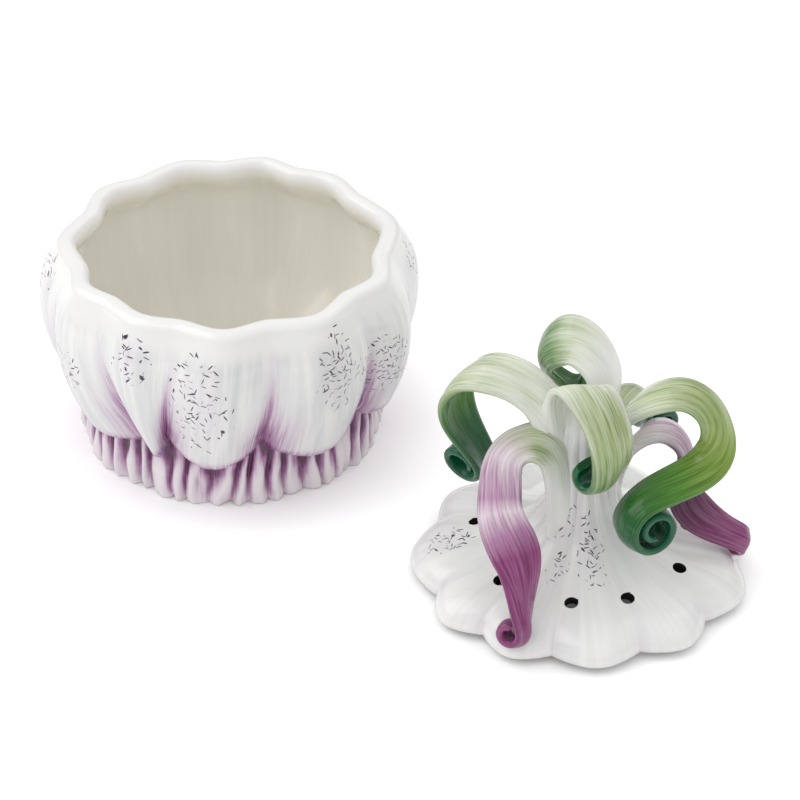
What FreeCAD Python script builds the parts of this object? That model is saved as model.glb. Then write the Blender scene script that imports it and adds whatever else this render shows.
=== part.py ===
import FreeCAD, Part
import math
import os

from FreeCAD import Placement, Rotation, Vector

# Driving sizes: name, value in millimetres or degrees, what it is.
driving_sizes = [
    ("jar_height", 93.0, "table to the crown of the lip"),
    ("mouth_radius", 66.9, "jar axis to the inner face of the lip, in the middle of a clove"),
    ("lip_width", 10.0, "across the rolled lip"),
    ("lip_height", 4.5, "height of the rolled lip"),
    ("lip_crease_depth", 5.5, "depth of a crease at the lip"),
    ("shoulder_drop", 7.6, "how far the cloves draw in from girth to lip"),
    ("girth_height", 68.0, "height at which the cloves are fullest"),
    ("crease_depth", 7.5, "depth of a crease at the girth"),
    ("belly_drop", 9.4, "how far the cloves draw in from girth to their bottoms"),
    ("clove_bottom_height", 27.0, "where the cloves turn under"),
    ("clove_turn_under", 9.0, "height over which the cloves turn under"),
    ("foot_inset", 26.5, "girth of the cloves to the side of the foot"),
    ("jar_wall", 8.0, "wall of the jar below the lip"),
    ("jar_floor", 7.0, "thickness of the jar's floor"),
    ("floor_fillet", 5.0, "round between the floor and the wall inside"),
    ("first_crease_angle", 30.0, "direction of the first crease"),
    ("clove_width_1", 44.0, "angle that the clove spans"),
    ("clove_width_2", 29.0, "angle that the clove spans"),
    ("clove_width_3", 28.0, "angle that the clove spans"),
    ("clove_width_4", 33.0, "angle that the clove spans"),
    ("clove_width_5", 31.0, "angle that the clove spans"),
    ("clove_width_6", 38.0, "angle that the clove spans"),
    ("clove_width_7", 28.0, "angle that the clove spans"),
    ("clove_width_8", 30.0, "angle that the clove spans"),
    ("clove_width_9", 32.0, "angle that the clove spans"),
    ("clove_width_10", 35.0, "angle that the clove spans"),
    ("frill_overlap", 6.0, "how far the root frill runs up behind the clove bottoms"),
    ("frill_flare", 10.0, "how far the frill stands out from the foot at the table"),
    ("frill_top_inset", 9.1, "crowns of the clove bottoms to the top of the frill"),
    ("pleat_count", 48.0, "pleats round the frill"),
    ("pleat_depth", 2.6, "depth of a pleat at the table"),
    ("first_pleat_angle", 2.3, "direction of the first groove between two pleats"),
    ("skirt_overhang", 5.3, "how far the lid's lobes reach past the inner face of the lip"),
    ("skirt_gap", 3.0, "table to the lowest edge of the lid's lobes"),
    ("skirt_crease_depth", 7.5, "depth of a crease at the lid's edge"),
    ("dome_rise", 16.5, "skirt edge to the flat part of the dome"),
    ("dome_wall", 5.0, "wall of the lid"),
    ("neck_foot_rise", 16.5, "flat part of the dome to where it becomes the neck"),
    ("neck_foot_radius", 16.0, "radius where the dome becomes the neck"),
    ("neck_radius", 11.5, "radius of the neck under the leaves"),
    ("neck_rise", 44.0, "foot of the neck to its top"),
    ("lid_first_crease", 156.5, "direction of the lid's first crease"),
    ("ring_clearance", 2.0, "locating ring to the narrowest part of the mouth"),
    ("ring_wall", 5.0, "thickness of the locating ring"),
    ("vent_radius", 2.9, "radius of a vent hole"),
    ("vent_inset", 26.7, "edge of the lid's lobes to the middle of a vent hole"),
    ("vent_tilt", 25.0, "lean of a vent hole away from upright"),
    ("leaf_thickness", 3.6, "thickness of a leaf"),
    ("leaf_bow", 2.4, "crown across a leaf"),
    ("leaf_seat_rise", 14.0, "foot of the neck to where the leaves are placed from"),
    ("lid_gap", 30.3, "space on the table between the jar and the lid beside it"),
    ("lid_turn", 37.2, "turn of the lid on the table"),
]

clove_count = 11
# How far each crease strays sideways, in degrees, on its way down from the lip.
crease_leans = [3, -2, 2, -3, 2, 3, -3, 17, -7, -3, 5]
# How much fuller or flatter each clove is than the girth, in millimetres.
clove_swells = [0, -1.5, -0.5, -1, 0, -0.5, -1.5, -2.5, 0, 0, -1]
# Directions of the vent holes in the lid's own frame, in degrees.
vent_angles = [10, 50, 90, 128, 165, 221, 263, 293, 332]

# How deep the creases are left where the foot and the floor are all but round.
crease_trace = 0.2
# How deep they are inside, between the clove bottoms and the floor.
low_wall_crease = 1.0
# How far the lid's lowest edge is rounded under, and the hollow starts above it.
edge_round = 0.2
# Rows into which the belly is divided between the clove bottoms and the lip.
belly_steps = 9
# Round the bottom of a clove: how far it has turned, in degrees, how far the crease
# stands out from the foot there, and how far the row rises towards the crease.
clove_bottoms = [(12, 3.0, 7), (38, 4.5, 9), (64, 6.5, 9), (90, 9.0, 8)]

# The lid's outline from its edge inwards: share of the dome's rise, how far it lies
# inside the edge, and share of the crease's depth.
skirt_outline = [
    (0, 1.2, 1),
    (0.12, 0, 1),
    (0.4, 1.8, 1),
    (0.64, 8, 0.85),
    (0.8, 18, 0.6),
    (0.91, 29, 0.35),
]
# From the dome to the foot of the neck: share of that rise, how far it stands out from
# the neck's foot, and depth of the flutes.
shoulder_outline = [(0.22, 16, 2.0), (0.55, 6, 1.8), (1, 0, 1.6)]
# Up the neck: share of its rise, how far it stands out from the neck, depth of the flutes.
neck_outline = [(0.3, 1, 1.4), (0.7, 0, 1.2), (0.94, -1.5, 1.0), (1, -5, 0.6)]

# The leaves, each a ribbon laid along hand-placed stations in the lid's own frame.
# A station is x, y, height above the leaf seat, then the direction and the rise
# of the leaf's width in degrees, and its width. The curl that ends a leaf is its
# first radius, last radius, turns (negative turns the other way) and end width.
# The stations are given for a lid of this radius, and spread over a wider one.
stations_lid_radius = 72.2
leaves = {
    "leaf_left_high": {
        "stations": [
            (-3, -4, 0, 60, -10, 12),
            (-8, -3, 20, 54, 10, 16),
            (-16, -1, 36, 54, 25, 19),
            (-27, 1, 46, 58, 27, 20),
            (-39, 3, 49, 62, 24, 20),
            (-48, 6, 45, 58, 12, 19),
            (-53, 8, 36, 46, -2, 19),
            (-52, 11, 23, 36, -8, 18),
            (-47, 14, 10, 40, -10, 16),
            (-41, 16, -3, 44, -10, 14),
        ],
        "curl": (9.5, 4.5, 1.15, 11),
    },
    "leaf_left_low": {
        "stations": [
            (-9, -12, -18, 50, -5, 13),
            (-10, -12, 0, 55, 10, 15),
            (-12, -11, 16, 64, 17, 18),
            (-19, -12, 24, 76, 12, 20),
            (-28, -15, 25, 96, 16, 19),
            (-34, -20, 20, 122, 22, 18),
            (-35, -27, 12, 148, 18, 18),
            (-35, -34, 5, 165, 6, 19),
            (-32, -41, -1, 182, 0, 21),
            (-28, -47, -8, 190, -2, 21),
            (-26.5, -53, -16, 200, 10, 16),
            (-26, -59, -24, 215, 26, 13),
            (-25, -63, -32, 232, 38, 11),
        ],
        "curl": (6.5, 2.6, -0.9, 8),
    },
    "leaf_front": {
        "stations": [
            (-6, -3, 10, 5, -20, 13),
            (-7, -5, 32, 2, -12, 18),
            (-6, -7, 44, -2, -2, 21),
            (-1, -13, 50, -10, 2, 21),
            (5, -20, 46, -18, 12, 20),
            (9, -25, 37, -20, 24, 19),
            (10.5, -27, 27, -20, 34, 18),
            (8.5, -26.5, 15, -18, 42, 17),
        ],
        "curl": (7.5, 4.5, 0.6, 14),
    },
    "leaf_back_top": {
        "stations": [
            (5, 2, 8, 40, -25, 12),
            (7, 4, 28, 42, -28, 16),
            (9, 7, 40, 40, -27, 19),
            (7, 9, 48, 36, -12, 20),
            (1, 12, 55, 40, 20, 21),
            (-6, 15, 57, 55, 48, 22),
            (-12, 18, 53, 80, 45, 21),
            (-16, 22, 45, 96, 14, 19),
            (-14, 25, 36, 100, 0, 17),
            (-7, 25, 29, 100, 0, 15),
        ],
        "curl": (7, 4.5, -0.4, 12),
    },
    "leaf_right": {
        "stations": [
            (6, -1, 4, 45, -12, 12),
            (13, -2, 22, 58, -5, 15),
            (21, -3, 36, 80, 5, 17),
            (31, -5, 43, 88, 10, 18),
            (41, -6, 44.5, 82, 10, 19),
            (50, -8, 39, 66, 4, 19),
            (54, -11, 30, 46, -8, 19),
            (53, -15, 21, 0, -14, 18),
            (45, -20, 15, -50, -20, 18),
            (32, -25.5, 11.5, -65, -15, 18),
            (20, -31, 6.5, -72, -5, 18),
        ],
        "curl": (12.5, 4.2, 1.45, 16),
    },
    "leaf_right_low": {
        "stations": [
            (8, 1, -12, 50, -5, 12),
            (18, 6, 6, 62, -2, 14),
            (27, 10, 14, 78, 0, 15),
            (36, 13, 13, 82, 4, 16),
            (43, 13, 5, 78, 0, 15),
            (43, 10, -4, 66, -4, 16),
            (43, 5, -13, 48, 10, 18),
            (48, 1, -20, 46, 25, 18),
            (57, -1, -26, 52, 25, 15),
            (66, -1, -31, 60, 25, 13),
        ],
        "curl": (6, 4.2, 0.55, 10),
    },
    "leaf_back": {
        "stations": [
            (6, 5, 5, -35, 10, 12),
            (12, 11, 22, -45, 18, 15),
            (18, 20, 27, -48, 22, 17),
            (22, 29, 22, -50, 16, 17),
            (25, 35, 12, -52, 12, 16),
            (26, 38, 0, -60, 8, 14),
        ],
        "curl": (8, 4.2, 1.1, 11),
    },
}

doc = FreeCAD.newDocument("garlic_keeper")
sheet = doc.addObject("Spreadsheet::Sheet", "Sizes")
for row, (name, value, note) in enumerate(driving_sizes, start=1):
    sheet.set("A%d" % row, name)
    sheet.set("B%d" % row, str(value))
    sheet.set("C%d" % row, note)
    sheet.setAlias("B%d" % row, name)
doc.recompute()


def size(name):
    """A driving size as a plain number."""
    return float(sheet.get(name))


def polar(radius, angle, height):
    turn = math.radians(angle)
    return Vector(radius * math.cos(turn), radius * math.sin(turn), height)


def add_solid(name, shape):
    """A document object that holds a shape worked out from the driving sizes."""
    feature = doc.addObject("Part::Feature", name)
    feature.Shape = shape
    return feature


def clamped_knots(count):
    """Knots and multiplicities of a cubic that starts and ends on its end points."""
    knots = [float(number) for number in range(count - 2)]
    return knots, [4] + [1] * (count - 4) + [4]


def smooth_face(grid):
    """A smooth face drawn in by a grid of points, ending on the grid's own edges."""
    row_knots, row_mults = clamped_knots(len(grid))
    column_knots, column_mults = clamped_knots(len(grid[0]))
    surface = Part.BSplineSurface()
    surface.buildFromPolesMultsKnots(
        grid, row_mults, column_mults, row_knots, column_knots, False, False, 3, 3
    )
    return surface.toShape()


def closed_solid(strips):
    """A solid from strips that share their long edges, closed by a flat face at each end."""
    faces = [smooth_face(strip) for strip in strips]
    for end in (0, -1):
        edges = [smooth_edge(strip[end]) for strip in strips]
        faces.append(Part.Face(Part.Wire(edges)))
    shell = Part.Shell(faces)
    shell.sewShape()
    solid = Part.Solid(shell)
    if solid.Volume < 0:
        solid.reverse()
    return solid


def smooth_edge(points):
    """The curve on which a smooth face ends at one row of its grid."""
    knots, mults = clamped_knots(len(points))
    curve = Part.BSplineCurve()
    curve.buildFromPolesMultsKnots(points, mults, knots, False, 3)
    return curve.toShape()


def add_cut(name, base, tool):
    cut = doc.addObject("Part::Cut", name)
    cut.Base = base
    cut.Tool = tool
    cut.Refine = False
    return cut


def add_cylinder(name, radius, height):
    cylinder = doc.addObject("Part::Cylinder", name)
    cylinder.setExpression("Radius", radius)
    cylinder.setExpression("Height", height)
    return cylinder


# Cloves: where the creases lie, and a closed outline of one arc for each clove.

def clove_widths():
    widths = [size("clove_width_%d" % number) for number in range(1, clove_count)]
    return widths + [360 - sum(widths)]


def crease_angles(first_angle, lean=0.0):
    """Directions of the creases; lean is 0 at the lip and 1 at the clove bottoms."""
    angles = []
    angle = first_angle
    for width, stray in zip(clove_widths(), crease_leans):
        angles.append(angle + lean * stray)
        angle += width
    return angles


def lobed_solid(rows, first_angle, swell=0.0):
    """A ribbed solid of revolution: each row gives height, crown radius, crease radius,
    how far the row rises towards the creases, and how far the creases have strayed."""
    strips = []
    for number in range(clove_count):
        strip = []
        for height, ridge, valley, lift, stray in rows:
            angles = crease_angles(first_angle, stray)
            start = angles[number]
            end = angles[number + 1] if number + 1 < clove_count else angles[0] + 360
            crown = ridge + swell * clove_swells[number]
            strip.append([
                polar(
                    valley + (crown - valley) * (1 - abs(side) ** 2.2),
                    (start + end + side * (end - start)) / 2,
                    height + lift * abs(side) ** 2.2,
                )
                for side in (-1, -0.8, -0.35, 0, 0.35, 0.8, 1)
            ])
        strips.append(strip)
    return closed_solid(strips)


# Jar.

def girth_radius():
    return size("mouth_radius") + size("lip_width") + size("shoulder_drop")


def foot_radius():
    return girth_radius() - size("foot_inset")


def belly_ridge(height):
    """Radius of a clove's crown at a height between its bottom and the lip."""
    middle = size("girth_height")
    if height > middle:
        share = (height - middle) / (size("jar_height") - size("lip_height") - middle)
        return girth_radius() - size("shoulder_drop") * share ** 2.1
    share = (middle - height) / (middle - size("clove_bottom_height"))
    return girth_radius() - size("belly_drop") * share ** 2.2


def belly_crease(height):
    """Depth of the creases, which deepen downwards from the lip."""
    lip_depth = size("lip_crease_depth")
    share = (size("jar_height") - height) / (size("jar_height") - size("girth_height"))
    return lip_depth + (size("crease_depth") - lip_depth) * share


def crease_stray(height):
    """How much of its full lean a crease has reached at a height."""
    share = (size("jar_height") - height) / (size("jar_height") - size("clove_bottom_height"))
    return max(0.0, min(1.0, share)) ** 1.5


def foot_rows():
    """Rows up the foot and round the turned-under bottoms of the cloves."""
    foot = foot_radius()
    bottom = size("clove_bottom_height")
    under = size("clove_turn_under")
    full = belly_ridge(bottom)
    rows = [
        (height, foot, foot - crease_trace, 0, 1)
        for height in (0, 0.67 * (bottom - under), bottom - 1.17 * under)
    ]
    for turn, crease, lift in clove_bottoms:
        angle = math.radians(turn)
        ridge = foot + (full - foot) * math.sin(angle)
        rows.append((bottom - under * math.cos(angle), ridge, foot + crease, lift, 1))
    return rows


def belly_rows(inset, deepening):
    """Rows up the belly, for the outside or one wall further in."""
    rows = []
    lowest = size("clove_bottom_height") + size("frill_overlap")
    highest = size("jar_height") - size("lip_height")
    for step in range(belly_steps + 1):
        share = step / belly_steps
        height = lowest + (highest - lowest) * share
        ridge = belly_ridge(height) - inset
        lift = size("frill_overlap") * (1 - share) ** 3
        crease = belly_crease(height) * deepening
        rows.append((height, ridge, ridge - crease, lift, crease_stray(height)))
    return rows


def lip_rows():
    """Rows over the rolled lip, from outside to inside; its crown lies nearer the inside."""
    inner_reach = 0.4 * size("lip_width")
    outer_reach = size("lip_width") - inner_reach
    middle = size("mouth_radius") + inner_reach
    rows = []
    for angle in (25, 50, 70, 90, 110, 130, 155, 180):
        turn = math.radians(angle)
        reach = outer_reach if angle < 90 else inner_reach
        ridge = middle + reach * math.cos(turn)
        height = size("jar_height") - size("lip_height") * (1 - math.sin(turn))
        rows.append((height, ridge, ridge - size("lip_crease_depth"), 0, crease_stray(height)))
    return rows


def cavity_rows():
    """Rows down the inside, from under the lip to the edge of the floor."""
    mouth = size("mouth_radius") + 0.5
    under_lip = size("jar_height") - 2 * size("lip_height")
    rows = [(under_lip, mouth, mouth - size("lip_crease_depth"), 0, 0)]
    for height, ridge, valley, lift, stray in reversed(belly_rows(size("jar_wall"), 0.75)[:-2]):
        rows.append((height, ridge, valley, 0, stray))
    floor = size("jar_floor")
    fillet = size("floor_fillet")
    side = foot_radius() - size("jar_wall")
    above_floor = (size("clove_bottom_height") + floor + fillet) / 2
    rows.append((above_floor, side + fillet, side + fillet - low_wall_crease, 0, 1))
    for turn in (90, 60, 30, 0):
        angle = math.radians(turn)
        radius = side - fillet * (1 - math.sin(angle))
        rows.append((floor + fillet * (1 - math.cos(angle)), radius, radius - crease_trace, 0, 1))
    flat = side - 2 * fillet
    rows.append((floor, flat, flat - crease_trace, 0, 1))
    return rows


def build_jar():
    first_crease = size("first_crease_angle")
    outside_rows = foot_rows() + belly_rows(0, 1)
    rows = outside_rows + lip_rows() + cavity_rows()
    jar = add_solid("jar_bulb", lobed_solid(rows, first_crease, swell=1.0))
    outside = add_solid("BulbOutside", lobed_solid(outside_rows, first_crease, swell=1.0))
    return jar, outside


def frill_rows():
    """Height, radius and pleat depth, up the outside of the frill."""
    top = size("clove_bottom_height") + size("frill_overlap")
    top_radius = belly_ridge(size("clove_bottom_height")) - size("frill_top_inset")
    spread = foot_radius() + size("frill_flare") - top_radius
    rows = []
    for share in (0.0, 0.1, 0.3, 0.55, 0.8, 1.0):
        depth = size("pleat_depth") * (1 - 0.6 * share)
        rows.append((top * share, top_radius + spread * (1 - share) ** 1.6, depth))
    return rows


def build_frill(outside):
    """A pleated collar round the foot, fitted to the clove bottoms."""
    count = int(round(size("pleat_count")))
    step = 360.0 / count
    strips = []
    for number in range(count):
        middle = size("first_pleat_angle") + (number + 0.5) * step
        strips.append([
            [
                polar(radius - depth * abs(side) ** 1.6, middle + side * step / 2, height)
                for side in (-1, -0.6, 0, 0.6, 1)
            ]
            for height, radius, depth in frill_rows()
        ])
    blank = add_solid("FrillBlank", closed_solid(strips))
    return add_cut("jar_root_frill", blank, outside)


# Lid.

def skirt_radius():
    return size("mouth_radius") + size("skirt_overhang")


def dome_profile():
    """Height, crown radius and crease depth of the lid's outside, from edge to neck top."""
    edge = size("skirt_gap")
    flat = edge + size("dome_rise")
    foot = flat + size("neck_foot_rise")
    rows = []
    for share, inset, crease in skirt_outline:
        depth = crease * size("skirt_crease_depth")
        rows.append((edge + share * size("dome_rise"), skirt_radius() - inset, depth))
    for share, outset, depth in shoulder_outline:
        height = flat + share * size("neck_foot_rise")
        rows.append((height, size("neck_foot_radius") + outset, depth))
    for share, outset, depth in neck_outline:
        rows.append((foot + share * size("neck_rise"), size("neck_radius") + outset, depth))
    return rows


def dome_rows():
    """Rows down the outside of the lid, round its edge and up the hollow underneath."""
    wall = size("dome_wall")
    outside = dome_profile()
    rows = [(height, ridge, ridge - depth, 0, 0) for height, ridge, depth in reversed(outside)]
    edge, skirt, depth = outside[0]
    rows.append((edge - edge_round, skirt - wall / 2, skirt - wall / 2 - depth, 0, 0))
    for height, ridge, depth in outside[:len(skirt_outline) + len(shoulder_outline)]:
        radius = ridge - wall
        lowered = max(height - 0.9 * wall, edge + edge_round)
        rows.append((lowered, radius, radius - 0.8 * depth, 0, 0))
    return rows


def vent_hole(number, angle):
    """A tool for one vent hole, square to the dome where it comes through."""
    hole = add_cylinder("VentHole%d" % number, "Sizes.vent_radius", "4 * Sizes.dome_wall")
    axis = Rotation(Vector(0, 0, 1), angle) * Rotation(Vector(0, 1, 0), size("vent_tilt"))
    surface = size("skirt_gap") + 0.91 * size("dome_rise")
    start = polar(skirt_radius() - size("vent_inset"), angle, surface)
    hole.Placement = Placement(start - axis.multVec(Vector(0, 0, 2 * size("dome_wall"))), axis)
    return hole


def build_dome():
    shell = add_solid("DomeShell", lobed_solid(dome_rows(), size("lid_first_crease")))
    vents = doc.addObject("Part::MultiFuse", "VentHoles")
    vents.Shapes = [vent_hole(number, angle) for number, angle in enumerate(vent_angles, 1)]
    return add_cut("lid_dome", shell, vents), shell


def build_ring(shell):
    """The ring under the lid, which drops into the mouth with a clearance all round."""
    radius = "Sizes.mouth_radius - Sizes.lip_crease_depth - Sizes.ring_clearance"
    height = "Sizes.skirt_gap + 0.42 * Sizes.dome_rise"
    outer = add_cylinder("RingOutside", radius, height)
    inner = add_cylinder("RingBore", radius + " - Sizes.ring_wall", height)
    return add_cut("lid_locating_ring", add_cut("RingBlank", outer, inner), shell)


# Leaves.

def width_direction(turn, lean):
    rise = math.radians(lean)
    flat = polar(math.cos(rise), turn, 0)
    return Vector(flat.x, flat.y, math.sin(rise))


def leaf_strips(frames):
    """Grids of points for the four sides of a leaf: crown, edge, hollow back, edge."""
    half = size("leaf_thickness") / 2
    sides = [[], [], [], []]
    for centre, along, across, width, crown in frames:
        across = across - along * across.dot(along)
        across.normalize()
        up = along.cross(across)
        flat = width / 2 - half
        bulge = flat + half * 4 / 3

        def at(side, rise):
            return centre + across * side + up * (rise - crown / 3)

        shares = (-1, -0.5, 0, 0.5, 1)
        top = [at(flat * share, half + crown * (1 - share ** 2)) for share in shares]
        back = [at(-flat * share, -half + crown * (1 - share ** 2)) for share in shares]
        sides[0].append(top)
        sides[1].append([top[-1], at(bulge, half), at(bulge, -half), back[0]])
        sides[2].append(back)
        sides[3].append([back[-1], at(-bulge, -half), at(-bulge, half), top[0]])
    return sides


def leaf_frames(stations):
    """Centre, direction, width direction and width along a leaf, twice per station."""
    seat = size("skirt_gap") + size("dome_rise") + size("neck_foot_rise") + size("leaf_seat_rise")
    spread = skirt_radius() / stations_lid_radius
    places = [Vector(x * spread, y * spread, seat + rise) for x, y, rise, turn, lean, width in stations]
    settings = [Vector(turn, lean, width) for x, y, rise, turn, lean, width in stations]
    marks = [float(number) for number in range(len(stations))]
    path = Part.BSplineCurve()
    path.interpolate(Points=places, Parameters=marks)
    setting = Part.BSplineCurve()
    setting.interpolate(Points=settings, Parameters=marks)
    frames = []
    for half_step in range(2 * len(stations) - 1):
        mark = half_step / 2
        along = path.tangent(mark)[0]
        turn, lean, width = setting.value(mark)
        across = width_direction(turn, lean)
        frames.append((path.value(mark), along, across, width, size("leaf_bow")))
    return frames


def curl_frames(start, curl):
    """Frames that carry on from a leaf's end and wind it into a scroll."""
    centre, along, across, width, crown = start
    first, last, turns, end_width = curl
    across = across - along * across.dot(along)
    across.normalize()
    steps = max(2, int(round(abs(turns) * 12)))
    turn = math.copysign(360 * abs(turns) / steps, turns)
    frames = []
    for step in range(1, steps + 1):
        share = step / steps
        radius = first + (last - first) * share
        chord = 2 * radius * math.sin(math.radians(abs(turn) / 2))
        centre = centre + Rotation(across, turn / 2).multVec(along) * chord
        along = Rotation(across, turn).multVec(along)
        wide = width + (end_width - width) * share
        frames.append((centre, along, across, wide, crown * (1 - 0.8 * min(1, 2 * share))))
    return frames


def build_leaf(name, leaf, shell):
    frames = leaf_frames(leaf["stations"])
    frames += curl_frames(frames[-1], leaf["curl"])
    ribbon = add_solid(name + "_ribbon", closed_solid(leaf_strips(frames)))
    return add_cut(name, ribbon, shell)


def place_lid(piece):
    """Stand a piece of the lid beside the jar."""
    piece.Placement = Placement(Vector(0, 0, 0), Rotation(Vector(0, 0, 1), size("lid_turn")))
    piece.setExpression(
        "Placement.Base.x",
        "2 * Sizes.mouth_radius + Sizes.lip_width + Sizes.shoulder_drop"
        " + Sizes.lid_gap + Sizes.skirt_overhang",
    )


def check_document(pieces):
    for item in doc.Objects:
        if "Invalid" in item.State or "Error" in item.State:
            raise RuntimeError("%s failed: %s" % (item.Label, item.State))
    for piece in pieces:
        shape = piece.Shape
        if shape.isNull() or not shape.isValid() or not shape.Solids:
            raise RuntimeError("%s has no valid solid" % piece.Label)
        print("%-20s %d solids, %.0f mm3" % (piece.Label, len(shape.Solids), shape.Volume))


def build_keeper():
    jar, outside = build_jar()
    frill = build_frill(outside)
    dome, shell = build_dome()
    lid = [dome, build_ring(shell)]
    lid += [build_leaf(name, leaf, shell) for name, leaf in leaves.items()]
    for piece in lid:
        place_lid(piece)
    return [jar, frill] + lid


pieces = build_keeper()
doc.recompute()
check_document(pieces)
os.makedirs("parts", exist_ok=True)
for piece in pieces:
    piece.Shape.exportStep("parts/%s.step" % piece.Label)
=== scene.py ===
import math

import bpy
import numpy as np
from mathutils import Matrix, Vector
from mathutils.bvhtree import BVHTree


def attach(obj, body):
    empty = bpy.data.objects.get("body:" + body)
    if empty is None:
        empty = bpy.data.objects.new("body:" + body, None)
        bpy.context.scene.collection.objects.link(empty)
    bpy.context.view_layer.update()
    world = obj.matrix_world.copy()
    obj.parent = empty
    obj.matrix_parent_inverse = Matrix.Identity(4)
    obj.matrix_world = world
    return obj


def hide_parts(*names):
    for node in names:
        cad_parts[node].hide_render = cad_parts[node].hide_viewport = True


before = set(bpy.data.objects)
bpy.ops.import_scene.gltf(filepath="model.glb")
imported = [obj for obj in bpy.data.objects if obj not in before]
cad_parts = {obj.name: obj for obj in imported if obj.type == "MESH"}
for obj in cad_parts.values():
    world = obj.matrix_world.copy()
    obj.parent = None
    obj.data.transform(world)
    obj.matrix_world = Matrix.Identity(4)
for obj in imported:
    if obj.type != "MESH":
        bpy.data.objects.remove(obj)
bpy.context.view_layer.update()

millimetre = 0.001
scene = bpy.context.scene
print("frame loaded:", sorted(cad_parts))


def linearColour(hexCode):
    # sRGB hex to linear RGBA
    parts = [int(hexCode[i:i + 2], 16) / 255 for i in (1, 3, 5)]
    return tuple(p / 12.92 if p <= 0.04045 else ((p + 0.055) / 1.055) ** 2.4 for p in parts) + (1.0,)


def addNode(tree, kind, inputs=None, **settings):
    # inputs: socket name or number -> a value, a socket or a node whose first output is meant
    node = tree.nodes.new(kind)
    for name, value in settings.items():
        setattr(node, name, value)
    for socket, value in (inputs or {}).items():
        if isinstance(value, bpy.types.Node):
            value = value.outputs[0]
        if isinstance(value, bpy.types.NodeSocket):
            tree.links.new(value, node.inputs[socket])
        else:
            node.inputs[socket].default_value = value
    return node


def softStep(low, high, value):
    share = np.clip((value - low) / (high - low), 0, 1)
    return share * share * (3 - 2 * share)


def unit(vector):
    return vector / np.linalg.norm(vector)


def runLength(points):
    # length along a line of points, from its first
    return np.concatenate(([0], np.cumsum(np.linalg.norm(np.diff(points, axis=0), axis=-1))))


def colourStops(ramp, *stops):
    # stops: place along the ramp and its colour, in order
    elements = ramp.color_ramp.elements
    elements.remove(elements[1])
    for number, (place, hexCode) in enumerate(stops):
        stop = elements.new(place) if number else elements[0]
        stop.position = place
        stop.color = linearColour(hexCode)


# Shapes: smooth sheets drawn in by a grid of points, as in the pieces' construction.

def cubicWeights(controls, marks):
    # weights of a clamped cubic at marks that run from 0 to controls - 3
    spans = controls - 3
    knots = [0] * 3 + list(range(spans + 1)) + [spans] * 3
    weights = np.zeros((len(marks), controls))
    for row, mark in enumerate(marks):
        span = min(int(mark), spans - 1) + 3
        basis = [1.0, 0.0, 0.0, 0.0]
        left = [0.0] * 4
        right = [0.0] * 4
        for degree in range(1, 4):
            left[degree] = mark - knots[span + 1 - degree]
            right[degree] = knots[span + degree] - mark
            carried = 0.0
            for part in range(degree):
                share = basis[part] / (right[part + 1] + left[degree - part])
                basis[part] = carried + right[part + 1] * share
                carried = left[degree - part] * share
            basis[degree] = carried
        weights[row, span - 3:span + 1] = basis
    return weights


def smoothSheet(grid, rowWeights, columnWeights):
    return np.einsum("ri,ijk,cj->rck", rowWeights, np.asarray(grid, float), columnWeights)


def makePiece(name, points, uv):
    # points: rows x columns x 3 in millimetres, closed round in columns and capped at both ends
    rows, columns = points.shape[:2]
    vertices = [tuple(p) for p in points.reshape(-1, 3)]
    faces = []
    corners = []
    for r in range(rows - 1):
        for c in range(columns):
            n = (c + 1) % columns
            faces.append((r * columns + c, r * columns + n, (r + 1) * columns + n, (r + 1) * columns + c))
            corners += [(r, c), (r, c + 1), (r + 1, c + 1), (r + 1, c)]
    for r, order in ((0, 1), (rows - 1, -1)):
        middle = len(vertices)
        vertices.append(tuple(points[r].mean(0)))
        for c in range(columns):
            n = (c + 1) % columns
            faces.append((r * columns + n, r * columns + c)[::order] + (middle,))
            corners += [(r, c), (r, c + 1), (r, c)]
    mesh = bpy.data.meshes.new(name)
    mesh.from_pydata([Vector(v) * millimetre for v in vertices], [], faces)
    layer = mesh.uv_layers.new(name="glazeMap")
    layer.data.foreach_set("uv", [value * millimetre for r, c in corners for value in uv[r][c]])
    piece = bpy.data.objects.new(name, mesh)
    scene.collection.objects.link(piece)
    volume = sum(f.area * f.center.dot(f.normal) for f in mesh.polygons)
    if volume < 0:
        mesh.flip_normals()
    return piece


def meshPlaces(mesh):
    places = np.zeros(len(mesh.vertices) * 3)
    mesh.vertices.foreach_get("co", places)
    return places.reshape(-1, 3) / millimetre


def paintNumbers(mesh, name, values):
    layer = mesh.attributes.new(name, "FLOAT", "POINT")
    layer.data.foreach_set("value", np.asarray(values, np.float32))


def paintColours(mesh, name, values):
    layer = mesh.attributes.new(name, "FLOAT_COLOR", "POINT")
    layer.data.foreach_set("color", np.asarray(values, np.float32).ravel())


def smoothPiece(piece, sharpAngle=50):
    piece.data.shade_smooth()
    piece.data.set_sharp_from_angle(angle=math.radians(sharpAngle))


def finishPiece(piece, material, body, slot, *nodes):
    piece.data.materials.clear()
    piece.data.materials.append(material)
    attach(piece, body)
    if nodes:
        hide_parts(*nodes)


# Cloves: the uneven lobes that jar and lid share.

cloves = {
    "widths": [44, 29, 28, 33, 31, 38, 28, 30, 32, 35, 32],  # degrees, from the first crease
    "leans": [3, -2, 2, -3, 2, 3, -3, 17, -7, -3, 5],  # how far each crease strays on its way down
    "swells": [0, -1.5, -0.5, -1, 0, -0.5, -1.5, -2.5, 0, 0, -1],  # millimetres
    "round": 2.2,  # power of the curve from crown to crease
    "stations": (-1, -0.8, -0.35, 0, 0.35, 0.8, 1),
}


def creaseAngles(first, stray):
    starts = first + np.concatenate(([0], np.cumsum(cloves["widths"])))
    leans = np.array(cloves["leans"] + cloves["leans"][:1])
    return starts + stray * leans


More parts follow.
